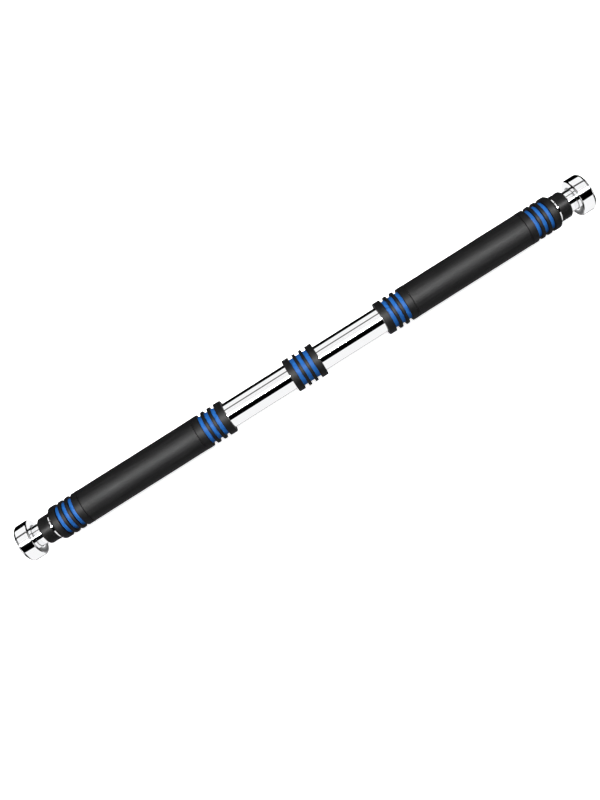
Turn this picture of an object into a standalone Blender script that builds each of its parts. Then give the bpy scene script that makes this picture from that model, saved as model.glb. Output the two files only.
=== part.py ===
"""Doorway pull-up bar that screws out at both ends to clamp itself between two door jambs.

The bar lies along X with its middle at the origin, in metres. A chrome tube carries two foam grips
with ribbed collars and a third collar in the middle. In each end a thinner tube runs through a
plastic bush. A nut in that tube's inner end rides on a threaded rod that is pinned inside the main
tube, so turning the foot against the bar drives it in or out. The rods are of opposite hand.
"""

from math import cos, radians, sin

import bpy

# ---------------------------------------------------------------- driving dimensions, in metres
CLEARANCE = 0.0003            # between any two pieces that touch or run in each other

TUBE_LENGTH = 0.6052
TUBE_RADIUS = 0.0140
TUBE_WALL = 0.0010

GRIP_LENGTH = 0.2081          # from the outer collar's free end to the inner collar's
GRIP_END_MARGIN = 0.0021      # bare tube between the grip and the end of the main tube
LINER_WALL = 0.0010           # blue sleeve under each ribbed collar
RING_DEPTH = 0.00275          # black rings on that sleeve
GROOVE_WIDTH = 0.0043
RIB_WIDTH = 0.0035
RIBS_PER_COLLAR = 2
MIDDLE_END_RING_WIDTH = 0.0075
INNER_END_RING_WIDTH = 0.0079
OUTER_END_RING_WIDTH = 0.0088
FOAM_RING_WIDTH = 0.0075
RING_LIP_WIDTH = 0.0020       # where an end ring reaches down to the tube, past the sleeve
RING_EDGE_RADIUS = 0.0008
OUTER_EDGE_RADIUS = 0.0034    # the grips' rounded outer ends

BUSH_HEAD_LENGTH = 0.0123
BUSH_BRIM = 0.00055           # how far the bush's head stands proud of the tube
BUSH_SPIGOT_LENGTH = 0.0240
BUSH_WALL = 0.0009
BUSH_EDGE_RADIUS = 0.0024

INNER_TUBE_LENGTH = 0.1896
INNER_TUBE_WALL = 0.0015
NECK_LENGTH = 0.0087          # inner tube that shows at rest, from the bush to the foot
TRAVEL = 0.1000               # how far a foot screws out from rest
RETRACTION = 0.0060           # and how far in

FOOT_RADIUS = 0.0205
FOOT_DEPTH = 0.0161
FOOT_WALL = 0.0018
FOOT_BACK = 0.0025
FOOT_SHOULDER_RADIUS = 0.0040
FOOT_RIM_RADIUS = 0.0012
FOOT_LIP_WIDTH = 0.0050       # how far the rolled lip reaches in over the pad
SOCKET_WALL = 0.0025
SOCKET_DEPTH = 0.0040
SOCKET_STEP = 0.0016
PAD_PROUD = 0.0010
PAD_EDGE = 0.0006

NUT_LENGTH = 0.0238
NUT_WALL = 0.0014
NUT_FLANGE_LENGTH = 0.0040
HUB_LENGTH = 0.0130
HUB_WALL = 0.0017
GLIDE_LENGTH = 0.0102
SNAP_RING_THICKNESS = 0.0012
SNAP_RING_HEIGHT = 0.0024
SNAP_RING_OPENING = 0.0050
SNAP_GROOVE_DEPTH = 0.0008

PLUG_LENGTH = 0.0180
PLUG_GAP = 0.0026             # left between the plug and the nut when the foot is right in
ROD_TAIL = 0.0020             # rod that shows behind the plug
PIN_RADIUS = 0.0020
PIN_INSET = 0.0002            # how far the pin's ends lie under the tube's surface
STOP_WASHER_THICKNESS = 0.0020
STOP_WASHER_INSET = 0.0005    # washer's edge inside the bore of the inner tube
STOP_SCREW_RADIUS = 0.0030
STOP_SCREW_LENGTH = 0.0120
STOP_SCREW_HEAD_RADIUS = 0.0050
STOP_SCREW_HEAD_HEIGHT = 0.0040
STOP_SCREW_SOCKET_RADIUS = 0.0022
STOP_SCREW_SOCKET_DEPTH = 0.0025

ROUND_SEGMENTS = 24
FINE_SEGMENTS = 32
PIN_SEGMENTS = 16
CORNER_STEPS = 2
MERGE_DISTANCE = 0.00001
SHARP_ANGLE = radians(30.0)

# ---------------------------------------------------------------- sizes that follow from them
TUBE_END = TUBE_LENGTH / 2.0
TUBE_BORE = TUBE_RADIUS - TUBE_WALL
SLEEVE_BORE = TUBE_RADIUS + CLEARANCE
LINER_RADIUS = SLEEVE_BORE + LINER_WALL
RING_BORE = LINER_RADIUS + CLEARANCE
GRIP_RADIUS = RING_BORE + RING_DEPTH
GRIP_END = TUBE_END - GRIP_END_MARGIN
GRIP_START = GRIP_END - GRIP_LENGTH
RIBBED_LENGTH = (RIBS_PER_COLLAR + 1) * GROOVE_WIDTH + RIBS_PER_COLLAR * RIB_WIDTH

BUSH_FACE = TUBE_END + CLEARANCE
BUSH_END = BUSH_FACE + BUSH_HEAD_LENGTH
BUSH_RADIUS = TUBE_RADIUS + BUSH_BRIM
SPIGOT_RADIUS = TUBE_BORE - CLEARANCE
BUSH_BORE = SPIGOT_RADIUS - BUSH_WALL

FOOT_BACK_FACE = BUSH_END + NECK_LENGTH
FOOT_END = FOOT_BACK_FACE + FOOT_DEPTH
INNER_TUBE_RADIUS = BUSH_BORE - CLEARANCE
INNER_TUBE_BORE = INNER_TUBE_RADIUS - INNER_TUBE_WALL
SOCKET_BORE = INNER_TUBE_RADIUS + CLEARANCE
SOCKET_END = FOOT_BACK_FACE + FOOT_BACK + SOCKET_DEPTH
INNER_TUBE_END = SOCKET_END - SOCKET_STEP - CLEARANCE
INNER_TUBE_START = INNER_TUBE_END - INNER_TUBE_LENGTH

NUT_RADIUS = INNER_TUBE_BORE - CLEARANCE
NUT_BORE = NUT_RADIUS - NUT_WALL
ROD_RADIUS = NUT_BORE - CLEARANCE
NUT_END = INNER_TUBE_START + NUT_LENGTH
FLANGE_END = INNER_TUBE_START - CLEARANCE
FLANGE_START = FLANGE_END - NUT_FLANGE_LENGTH
HUB_START = FLANGE_START - HUB_LENGTH
HUB_RADIUS = NUT_BORE + HUB_WALL
GLIDE_END = FLANGE_START - CLEARANCE
GLIDE_START = GLIDE_END - GLIDE_LENGTH
SNAP_RING_END = GLIDE_START - CLEARANCE
SNAP_RING_START = SNAP_RING_END - SNAP_RING_THICKNESS
SNAP_GROOVE_RADIUS = HUB_RADIUS - SNAP_GROOVE_DEPTH

PLUG_END = HUB_START - RETRACTION - PLUG_GAP
PLUG_START = PLUG_END - PLUG_LENGTH
PIN_PLACE = (PLUG_START + PLUG_END) / 2.0
ROD_START = PLUG_START - ROD_TAIL
ROD_END = NUT_END + TRAVEL
WASHER_START = ROD_END + CLEARANCE
WASHER_END = WASHER_START + STOP_WASHER_THICKNESS
SCREW_HEAD_START = WASHER_END + CLEARANCE
SCREW_HEAD_END = SCREW_HEAD_START + STOP_SCREW_HEAD_HEIGHT
SCREW_TIP = ROD_END - STOP_SCREW_LENGTH


# ---------------------------------------------------------------- the empty scene
for leftover in list(bpy.data.objects):
    bpy.data.objects.remove(leftover, do_unlink=True)

parts = bpy.data.collections.new("pull_up_bar")
cutters = bpy.data.collections.new("cutters")
bpy.context.scene.collection.children.link(parts)
bpy.context.scene.collection.children.link(cutters)


# ---------------------------------------------------------------- materials
def finish(name, colour, roughness, metallic):
    """A plain Principled material."""
    material = bpy.data.materials.new(name)
    material.use_nodes = True
    shader = material.node_tree.nodes["Principled BSDF"]
    shader.inputs["Base Color"].default_value = (*colour, 1.0)
    shader.inputs["Roughness"].default_value = roughness
    shader.inputs["Metallic"].default_value = metallic
    return material


CHROME = finish("chrome_plate", (0.86, 0.87, 0.88), 0.05, 1.0)
FOAM = finish("black_foam", (0.035, 0.035, 0.037), 0.85, 0.0)
BLACK_RUBBER = finish("black_rubber", (0.020, 0.020, 0.022), 0.55, 0.0)
BLUE_SILICONE = finish("blue_silicone", (0.060, 0.260, 0.720), 0.35, 0.0)
NYLON = finish("black_nylon", (0.030, 0.030, 0.030), 0.45, 0.0)
WHITE_NYLON = finish("natural_nylon", (0.780, 0.760, 0.700), 0.45, 0.0)
BRASS = finish("brass", (0.780, 0.590, 0.280), 0.30, 1.0)
ZINC_STEEL = finish("zinc_plated_steel", (0.620, 0.630, 0.650), 0.32, 1.0)
SPRING_STEEL = finish("spring_steel", (0.260, 0.260, 0.280), 0.35, 1.0)
PAD_RUBBER = finish("pad_rubber", (0.040, 0.040, 0.042), 0.80, 0.0)


# ---------------------------------------------------------------- modelling helpers
def side_frame(name, quarter_turns):
    """An empty at the bar's middle whose local Z runs out along the bar."""
    empty = bpy.data.objects.new(name, None)
    empty.rotation_euler = (0.0, radians(90.0) * quarter_turns, 0.0)
    parts.objects.link(empty)
    return empty


def arc(along, out, radius, start, end):
    """A round corner as (along, out) points; 0 degrees points along the bar, 90 points outwards."""
    turns = [radians(start + (end - start) * i / CORNER_STEPS) for i in range(CORNER_STEPS + 1)]
    return [(along + radius * cos(turn), out + radius * sin(turn)) for turn in turns]


def turned(name, outline, material, frame, segments=ROUND_SEGMENTS):
    """A piece turned about the bar's axis.

    The outline is a list of (along, out) points. It runs inwards along the outer side and comes
    back along the bore; a solid piece starts and ends on the axis instead.
    """
    links = [(i, i + 1) for i in range(len(outline) - 1)]
    if outline[0][1] > 0.0:
        links.append((len(outline) - 1, 0))
    mesh = bpy.data.meshes.new(name)
    mesh.from_pydata([(out, 0.0, along) for along, out in outline], links, [])
    mesh.materials.append(material)
    piece = bpy.data.objects.new(name, mesh)
    piece.parent = frame
    parts.objects.link(piece)
    turn = piece.modifiers.new("turn", "SCREW")
    turn.axis = "Z"
    turn.steps = segments
    turn.render_steps = segments
    turn.use_merge_vertices = True
    turn.merge_threshold = MERGE_DISTANCE
    return piece


def tube(name, start, end, bore, radius, material, frame, segments=ROUND_SEGMENTS):
    """A plain sleeve from start to end."""
    outline = [(end, radius), (start, radius), (start, bore), (end, bore)]
    return turned(name, outline, material, frame, segments)


def move_to(piece, collection):
    """Leaves a piece in one collection only."""
    for holder in list(piece.users_collection):
        holder.objects.unlink(piece)
    collection.objects.link(piece)


def as_cutter(cutter):
    """Takes a shape out of the parts and keeps it only for cutting."""
    move_to(cutter, cutters)
    cutter.hide_render = True
    cutter.display_type = "WIRE"
    return cutter


def cut(piece, cutter):
    """Cuts one shape out of a piece."""
    boolean = piece.modifiers.new("cut", "BOOLEAN")
    boolean.operation = "DIFFERENCE"
    boolean.solver = "EXACT"
    boolean.object = cutter


def cross_rod(name, radius, length, along, frame):
    """A straight round bar across the axis, at a distance along it."""
    bpy.ops.mesh.primitive_cylinder_add(vertices=PIN_SEGMENTS, radius=radius, depth=length)
    rod = bpy.context.object
    rod.name = name
    rod.data.name = name
    rod.parent = frame
    rod.location = (0.0, 0.0, along)
    rod.rotation_euler = (radians(90.0), 0.0, 0.0)
    return rod


# ---------------------------------------------------------------- collars and grips
def end_ring_outline(face, inward, width, edge_radius):
    """An end ring whose free face lies at face; inward is the direction to its collar, +1 or -1."""
    back = face + inward * width
    lip = face + inward * RING_LIP_WIDTH
    corner = face + inward * edge_radius
    shoulder = GRIP_RADIUS - edge_radius
    if inward < 0:
        rounded = arc(corner, shoulder, edge_radius, 0.0, 90.0)
        outer = rounded + [(back, GRIP_RADIUS)]
        bore = [(back, RING_BORE), (lip, RING_BORE), (lip, SLEEVE_BORE), (face, SLEEVE_BORE)]
    else:
        rounded = arc(corner, shoulder, edge_radius, 90.0, 180.0)
        outer = [(back, GRIP_RADIUS)] + rounded
        bore = [(face, SLEEVE_BORE), (lip, SLEEVE_BORE), (lip, RING_BORE), (back, RING_BORE)]
    return outer + bore


def ribs(prefix, first_groove, frame):
    """The ribs of one collar, between its grooves."""
    for number in range(RIBS_PER_COLLAR):
        start = first_groove + (number + 1) * GROOVE_WIDTH + number * RIB_WIDTH
        name = f"{prefix}_rib_{number + 1}"
        tube(name, start, start + RIB_WIDTH, RING_BORE, GRIP_RADIUS, BLACK_RUBBER, frame)


def middle_collar(frame):
    """The collar in the middle of the bar, with an end ring on both sides."""
    half = RIBBED_LENGTH / 2.0
    reach = half + MIDDLE_END_RING_WIDTH
    liner_reach = reach - RING_LIP_WIDTH - CLEARANCE
    tube("middle_collar_liner", -liner_reach, liner_reach, SLEEVE_BORE, LINER_RADIUS,
         BLUE_SILICONE, frame)
    for name, face, inward in (("left", -reach, 1), ("right", reach, -1)):
        outline = end_ring_outline(face, inward, MIDDLE_END_RING_WIDTH, RING_EDGE_RADIUS)
        turned(f"middle_collar_{name}_end_ring", outline, BLACK_RUBBER, frame)
    ribs("middle_collar", -half, frame)


def grip_collar(prefix, face, inward, end_ring_width, edge_radius, frame):
    """A collar on one end of a grip. Returns where it meets the foam."""
    outline = end_ring_outline(face, inward, end_ring_width, edge_radius)
    turned(f"{prefix}_end_ring", outline, BLACK_RUBBER, frame)
    ribbed = face + inward * end_ring_width
    ribs(prefix, min(ribbed, ribbed + inward * RIBBED_LENGTH), frame)
    foam_ring = ribbed + inward * RIBBED_LENGTH
    foam_face = foam_ring + inward * FOAM_RING_WIDTH
    tube(f"{prefix}_foam_ring", min(foam_ring, foam_face), max(foam_ring, foam_face),
         RING_BORE, GRIP_RADIUS, BLACK_RUBBER, frame)
    liner = face + inward * (RING_LIP_WIDTH + CLEARANCE)
    tube(f"{prefix}_liner", min(liner, foam_face), max(liner, foam_face),
         SLEEVE_BORE, LINER_RADIUS, BLUE_SILICONE, frame)
    return foam_face


def grip(side, frame):
    """A foam grip between its two collars."""
    foam_start = grip_collar(f"{side}_inner_collar", GRIP_START, 1,
                             INNER_END_RING_WIDTH, RING_EDGE_RADIUS, frame)
    foam_end = grip_collar(f"{side}_outer_collar", GRIP_END, -1,
                           OUTER_END_RING_WIDTH, OUTER_EDGE_RADIUS, frame)
    tube(f"{side}_foam_grip", foam_start + CLEARANCE, foam_end - CLEARANCE,
         SLEEVE_BORE, GRIP_RADIUS, FOAM, frame)


# ---------------------------------------------------------------- what stays fixed in each end
def end_bush(side, frame):
    """Plastic bush in the mouth of the main tube, which guides the inner tube."""
    edge = BUSH_EDGE_RADIUS
    outline = arc(BUSH_END - edge, BUSH_RADIUS - edge, edge, 0.0, 90.0)
    outline += [
        (BUSH_FACE, BUSH_RADIUS),
        (BUSH_FACE, SPIGOT_RADIUS),
        (BUSH_FACE - BUSH_SPIGOT_LENGTH, SPIGOT_RADIUS),
        (BUSH_FACE - BUSH_SPIGOT_LENGTH, BUSH_BORE),
        (BUSH_END, BUSH_BORE),
    ]
    turned(f"{side}_end_bush", outline, NYLON, frame, FINE_SEGMENTS)


def rod_and_plug(side, frame, pin_hole):
    """Threaded rod on the bar's axis, the plug that holds it and the pin through both."""
    plug = tube(f"{side}_rod_plug", PLUG_START, PLUG_END, ROD_RADIUS + CLEARANCE,
                TUBE_BORE - CLEARANCE, ZINC_STEEL, frame)
    hole = STOP_SCREW_RADIUS + CLEARANCE
    hole_floor = SCREW_TIP - CLEARANCE
    outline = [
        (hole_floor, 0.0),
        (hole_floor, hole),
        (ROD_END, hole),
        (ROD_END, ROD_RADIUS),
        (ROD_START, ROD_RADIUS),
        (ROD_START, 0.0),
    ]
    rod = turned(f"{side}_threaded_rod", outline, ZINC_STEEL, frame)
    cut(plug, pin_hole)
    cut(rod, pin_hole)
    pin = cross_rod(f"{side}_plug_pin", PIN_RADIUS, 2.0 * (TUBE_RADIUS - PIN_INSET), PIN_PLACE, frame)
    pin.data.materials.append(SPRING_STEEL)
    move_to(pin, parts)


def travel_stop(side, frame):
    """Washer and screw on the rod's free end, which keep the nut on the rod."""
    tube(f"{side}_stop_washer", WASHER_START, WASHER_END, STOP_SCREW_RADIUS + CLEARANCE,
         INNER_TUBE_BORE - STOP_WASHER_INSET, ZINC_STEEL, frame)
    outline = [
        (SCREW_HEAD_END - STOP_SCREW_SOCKET_DEPTH, 0.0),
        (SCREW_HEAD_END - STOP_SCREW_SOCKET_DEPTH, STOP_SCREW_SOCKET_RADIUS),
        (SCREW_HEAD_END, STOP_SCREW_SOCKET_RADIUS),
        (SCREW_HEAD_END, STOP_SCREW_HEAD_RADIUS),
        (SCREW_HEAD_START, STOP_SCREW_HEAD_RADIUS),
        (SCREW_HEAD_START, STOP_SCREW_RADIUS),
        (SCREW_TIP, STOP_SCREW_RADIUS),
        (SCREW_TIP, 0.0),
    ]
    turned(f"{side}_stop_screw", outline, SPRING_STEEL, frame)


# ---------------------------------------------------------------- what travels with each foot
def drive_nut(side, frame):
    """Nut in the inner tube's inner end; its hub carries the glide ring."""
    outline = [
        (NUT_END, NUT_RADIUS),
        (FLANGE_END, NUT_RADIUS),
        (FLANGE_END, INNER_TUBE_RADIUS),
        (FLANGE_START, INNER_TUBE_RADIUS),
        (FLANGE_START, HUB_RADIUS),
        (GLIDE_START, HUB_RADIUS),
        (GLIDE_START, SNAP_GROOVE_RADIUS),
        (SNAP_RING_START - CLEARANCE, SNAP_GROOVE_RADIUS),
        (SNAP_RING_START - CLEARANCE, HUB_RADIUS),
        (HUB_START, HUB_RADIUS),
        (HUB_START, NUT_BORE),
        (NUT_END, NUT_BORE),
    ]
    turned(f"{side}_drive_nut", outline, BRASS, frame)


def snap_ring(side, frame):
    """Open spring ring in the hub's groove, which keeps the glide ring on."""
    bore = SNAP_GROOVE_RADIUS + CLEARANCE
    radius = bore + SNAP_RING_HEIGHT
    ring = tube(f"{side}_snap_ring", SNAP_RING_START, SNAP_RING_END, bore, radius, SPRING_STEEL,
                frame)
    bpy.ops.mesh.primitive_cube_add(size=1.0)
    opening = bpy.context.object
    opening.name = f"{side}_snap_ring_opening"
    opening.parent = frame
    opening.location = (radius, 0.0, SNAP_RING_START)
    opening.scale = (2.0 * SNAP_RING_HEIGHT + radius, SNAP_RING_OPENING, 4.0 * SNAP_RING_THICKNESS)
    cut(ring, as_cutter(opening))


def foot_cup(side, frame):
    """Pressed steel cup: a flat back towards the bar, and a lip rolled in over the pad."""
    bore = FOOT_RADIUS - FOOT_WALL
    opening = FOOT_RADIUS - FOOT_LIP_WIDTH
    shoulder = FOOT_RADIUS - FOOT_SHOULDER_RADIUS
    shoulder_start = FOOT_END - FOOT_SHOULDER_RADIUS
    inside = FOOT_SHOULDER_RADIUS - FOOT_WALL
    back_inside = FOOT_BACK_FACE + FOOT_BACK
    rim = FOOT_RIM_RADIUS
    outline = [(FOOT_END, opening)]
    outline += arc(shoulder_start, shoulder, FOOT_SHOULDER_RADIUS, 0.0, 90.0)
    outline += arc(FOOT_BACK_FACE + rim, FOOT_RADIUS - rim, rim, 90.0, 180.0)
    outline += [
        (FOOT_BACK_FACE, SOCKET_BORE),
        (SOCKET_END - SOCKET_STEP, SOCKET_BORE),
        (SOCKET_END - SOCKET_STEP, INNER_TUBE_BORE),
        (SOCKET_END, INNER_TUBE_BORE),
        (SOCKET_END, SOCKET_BORE + SOCKET_WALL),
        (back_inside, SOCKET_BORE + SOCKET_WALL),
        (back_inside, bore),
    ]
    outline += arc(shoulder_start, shoulder, inside, 90.0, 0.0)
    outline += [(FOOT_END - FOOT_WALL, opening)]
    turned(f"{side}_foot_cup", outline, CHROME, frame, FINE_SEGMENTS)


def foot_pad(side, frame):
    """Rubber pad held in the cup by its lip, with a flat face against the door jamb."""
    face = FOOT_END + PAD_PROUD
    boss = FOOT_RADIUS - FOOT_LIP_WIDTH - CLEARANCE
    body = FOOT_RADIUS - FOOT_WALL - CLEARANCE
    under_lip = FOOT_END - FOOT_WALL - CLEARANCE
    slope_start = FOOT_END - FOOT_SHOULDER_RADIUS - CLEARANCE
    slope_top = body - (under_lip - slope_start)
    skirt = SOCKET_BORE + SOCKET_WALL + CLEARANCE
    skirt_start = FOOT_BACK_FACE + FOOT_BACK + CLEARANCE
    floor = SOCKET_END + CLEARANCE
    outline = [
        (face, 0.0),
        (face, boss - PAD_EDGE),
        (face - PAD_EDGE, boss),
        (under_lip, boss),
        (under_lip, slope_top),
        (slope_start, body),
        (skirt_start, body),
        (skirt_start, skirt),
        (floor, skirt),
        (floor, 0.0),
    ]
    turned(f"{side}_foot_pad", outline, PAD_RUBBER, frame)


# ---------------------------------------------------------------- the assembly
bar_frame = side_frame("bar_axis", 1)
main_tube = tube("main_tube", -TUBE_END, TUBE_END, TUBE_BORE, TUBE_RADIUS, CHROME, bar_frame,
                 FINE_SEGMENTS)
middle_collar(bar_frame)

for side_name, turns in (("left", -1), ("right", 1)):
    side_axis = side_frame(f"{side_name}_axis", turns)
    hole_cutter = as_cutter(cross_rod(f"{side_name}_pin_hole", PIN_RADIUS + CLEARANCE,
                                      4.0 * TUBE_RADIUS, PIN_PLACE, side_axis))
    cut(main_tube, hole_cutter)
    grip(side_name, side_axis)
    end_bush(side_name, side_axis)
    rod_and_plug(side_name, side_axis, hole_cutter)
    travel_stop(side_name, side_axis)
    tube(f"{side_name}_inner_tube", INNER_TUBE_START, INNER_TUBE_END, INNER_TUBE_BORE,
         INNER_TUBE_RADIUS, CHROME, side_axis, FINE_SEGMENTS)
    drive_nut(side_name, side_axis)
    tube(f"{side_name}_glide_ring", GLIDE_START, GLIDE_END, HUB_RADIUS + CLEARANCE,
         TUBE_BORE - CLEARANCE, WHITE_NYLON, side_axis)
    snap_ring(side_name, side_axis)
    foot_cup(side_name, side_axis)
    foot_pad(side_name, side_axis)

# every piece becomes a plain mesh, round where it is round and sharp where it has an edge
bpy.context.view_layer.update()
view = bpy.context.evaluated_depsgraph_get()
solids = [piece for piece in parts.objects if piece.type == "MESH"]
settled = {piece.name: bpy.data.meshes.new_from_object(piece.evaluated_get(view)) for piece in solids}
for piece in solids:
    piece.modifiers.clear()
    piece.data = settled[piece.name]
    piece.data.name = piece.name
    piece.data.shade_smooth()
    piece.data.set_sharp_from_angle(angle=SHARP_ANGLE)
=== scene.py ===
from math import acos, atan2, cos, pi, radians, sin, tan

import bmesh
import bpy
from mathutils import Matrix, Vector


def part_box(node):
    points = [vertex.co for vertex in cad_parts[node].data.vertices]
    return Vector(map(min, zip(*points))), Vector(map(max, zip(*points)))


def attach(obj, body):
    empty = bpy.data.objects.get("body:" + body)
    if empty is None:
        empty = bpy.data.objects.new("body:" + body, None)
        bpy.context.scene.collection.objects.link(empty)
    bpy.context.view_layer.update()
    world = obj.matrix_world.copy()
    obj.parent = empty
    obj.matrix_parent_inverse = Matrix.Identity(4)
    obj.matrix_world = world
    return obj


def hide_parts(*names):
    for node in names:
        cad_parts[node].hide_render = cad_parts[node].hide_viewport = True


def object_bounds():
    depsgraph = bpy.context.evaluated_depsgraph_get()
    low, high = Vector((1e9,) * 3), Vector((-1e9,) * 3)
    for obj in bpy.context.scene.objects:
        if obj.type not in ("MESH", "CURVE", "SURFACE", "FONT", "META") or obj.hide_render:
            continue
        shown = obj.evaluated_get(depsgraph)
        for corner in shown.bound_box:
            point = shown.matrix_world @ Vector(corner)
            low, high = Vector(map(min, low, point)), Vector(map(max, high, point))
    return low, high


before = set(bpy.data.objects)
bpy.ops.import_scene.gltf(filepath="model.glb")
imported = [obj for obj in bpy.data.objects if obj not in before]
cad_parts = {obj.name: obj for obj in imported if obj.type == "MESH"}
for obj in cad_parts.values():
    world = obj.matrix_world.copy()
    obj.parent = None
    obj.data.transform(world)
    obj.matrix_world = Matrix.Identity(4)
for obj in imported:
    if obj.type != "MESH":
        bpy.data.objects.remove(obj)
cad_low, cad_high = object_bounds()
SIDES = (("left", -1.0), ("right", 1.0))


# ---------------------------------------------------------------- main tube
# A length of thin steel tube, 28 mm across, plated with nickel and chrome and buffed along its
# length. Under each grip's inner collar it is drilled across for the pin that holds that side's
# screw rod.
GAP = 0.0003
TUBE_WALL = 0.0010
TUBE_EDGE = 0.0003
TUBE_SEGMENTS = 192
SHARP_ANGLE = radians(32.0)
ON_AXIS = 1e-7                  # a point nearer the axis than this lies on it
DRILL_SEGMENTS = 48


def node(tree, kind, sockets=None, **settings):
    """A new node. Sockets are values or links, by name or number; settings are its own fields."""
    made = tree.nodes.new(kind)
    for field, value in settings.items():
        setattr(made, field, value)
    for key, value in (sockets or {}).items():
        if isinstance(value, bpy.types.NodeSocket):
            tree.links.new(value, made.inputs[key])
        else:
            made.inputs[key].default_value = value
    return made


def sums(tree, operation, *values):
    """One arithmetic step in a node tree."""
    return node(tree, "ShaderNodeMath", dict(enumerate(values)), operation=operation).outputs[0]


def finish(name, metallic, **sockets):
    """A Principled material. Returns it with its tree, its shader and the point on the piece."""
    made = bpy.data.materials.new(name)
    made.use_nodes = True
    tree = made.node_tree
    shader = tree.nodes["Principled BSDF"]
    shader.inputs["Metallic"].default_value = metallic
    for key, value in sockets.items():
        shader.inputs[key.replace("_", " ")].default_value = value
    point = node(tree, "ShaderNodeTexCoord").outputs["Object"]
    return made, tree, shader, point


def grain(tree, point, size, stretch=(1.0, 1.0, 1.0), detail=3.0, roughness=0.55):
    """Noise from 0 to 1 whose patches are about size across, drawn out by stretch."""
    scale = tuple(1.0 / (size * factor) for factor in stretch)
    placed = node(tree, "ShaderNodeMapping", {"Vector": point, "Scale": scale})
    noise = node(tree, "ShaderNodeTexNoise", {"Vector": placed.outputs[0], "Scale": 1.0,
                                              "Detail": detail, "Roughness": roughness})
    return noise.outputs["Fac"]


def between(tree, value, low, high, at_low, at_high):
    """The value moved from the range low to high onto the range at_low to at_high."""
    return node(tree, "ShaderNodeMapRange", {"Value": value, "From Min": low, "From Max": high,
                                             "To Min": at_low, "To Max": at_high}).outputs[0]


def mixed(tree, share, first, second):
    """A colour between two, by share."""
    mix = node(tree, "ShaderNodeMix", data_type="RGBA")
    tree.links.new(share, mix.inputs["Factor"])
    mix.inputs["A"].default_value = (*first, 1.0)
    mix.inputs["B"].default_value = (*second, 1.0)
    return mix.outputs["Result"]


def relief(tree, shader, heights):
    """Bumps laid over each other. Heights are (value, depth in metres)."""
    normal = None
    for value, depth in heights:
        bump = node(tree, "ShaderNodeBump", {"Height": value, "Distance": depth})
        if normal is not None:
            tree.links.new(normal, bump.inputs["Normal"])
        normal = bump.outputs[0]
    tree.links.new(normal, shader.inputs["Normal"])


def chrome_plate():
    """Bright chrome with faint lengthwise buffing lines, thin smears and a few hairline marks."""
    made, tree, shader, point = finish("chrome_plate", 1.0)
    smear = grain(tree, point, 0.018, (2.5, 1.0, 1.0))
    buffing = grain(tree, point, 0.00025, (60.0, 1.0, 1.0), detail=2.0)
    marks = grain(tree, point, 0.0012, (9.0, 1.0, 1.0), detail=5.0, roughness=0.7)
    tint = mixed(tree, smear, (0.900, 0.905, 0.915), (0.955, 0.955, 0.960))
    scratched = between(tree, marks, 0.66, 0.74, 0.0, 0.05)
    gloss = sums(tree, "ADD", between(tree, smear, 0.35, 0.75, 0.012, 0.030), scratched)
    tree.links.new(tint, shader.inputs["Base Color"])
    tree.links.new(gloss, shader.inputs["Roughness"])
    relief(tree, shader, [(buffing, 0.0000004)])
    return made


def rounded(corners, closed=True, steps=6):
    """An outline of (along, out) points from (along, out, edge radius) corners."""
    outline = []
    count = len(corners)
    for i, (along, out, radius) in enumerate(corners):
        at_end = not closed and i in (0, count - 1)
        if radius == 0.0 or at_end:
            outline.append((along, out))
            continue
        before, after = corners[i - 1], corners[(i + 1) % count]
        into = atan2(before[1] - out, before[0] - along)
        away = atan2(after[1] - out, after[0] - along)
        turn = acos(max(-1.0, min(1.0, cos(into - away))))
        reach = radius / tan(turn / 2.0)
        centre = radius / sin(turn / 2.0)
        half = atan2(sin(into) + sin(away), cos(into) + cos(away))
        middle = (along + centre * cos(half), out + centre * sin(half))
        first = (along + reach * cos(into), out + reach * sin(into))
        last = (along + reach * cos(away), out + reach * sin(away))
        start = atan2(first[1] - middle[1], first[0] - middle[0])
        sweep = atan2(last[1] - middle[1], last[0] - middle[0]) - start
        sweep = (sweep + pi) % (2.0 * pi) - pi
        for step in range(steps + 1):
            angle = start + sweep * step / steps
            outline.append((middle[0] + radius * cos(angle), middle[1] + radius * sin(angle)))
    return outline


def turned(name, outline, material, direction=1.0, segments=128):
    """A solid turned about the bar's axis from (along, out) points.

    Along is measured from the bar's middle in the given direction. An outline that starts and
    ends on the axis makes a piece with no bore.
    """
    shape = bmesh.new()
    rings = []
    for along, out in outline:
        if out < ON_AXIS:
            rings.append([shape.verts.new((direction * along, 0.0, 0.0))] * segments)
        else:
            rings.append([shape.verts.new((direction * along, out * sin(2.0 * pi * i / segments),
                                           out * cos(2.0 * pi * i / segments)))
                          for i in range(segments)])
    solid = outline[0][1] < ON_AXIS
    pairs = list(zip(rings, rings[1:])) + ([] if solid else [(rings[-1], rings[0])])
    for ring, following in pairs:
        for i in range(segments):
            j = (i + 1) % segments
            corners = [ring[i], ring[j], following[j], following[i]]
            corners = [c for k, c in enumerate(corners) if c not in corners[:k]]
            if len(corners) > 2:
                shape.faces.new(corners)
    bmesh.ops.recalc_face_normals(shape, faces=shape.faces)
    if shape.calc_volume(signed=True) < 0.0:
        bmesh.ops.reverse_faces(shape, faces=shape.faces)
    mesh = bpy.data.meshes.new(name)
    shape.to_mesh(mesh)
    shape.free()
    mesh.materials.append(material)
    piece = bpy.data.objects.new(name, mesh)
    bpy.context.collection.objects.link(piece)
    return smooth(piece)


def smooth(piece):
    """Round where it is round, and sharp where it has an edge."""
    piece.data.shade_smooth()
    piece.data.set_sharp_from_angle(angle=SHARP_ANGLE)
    return piece


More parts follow.
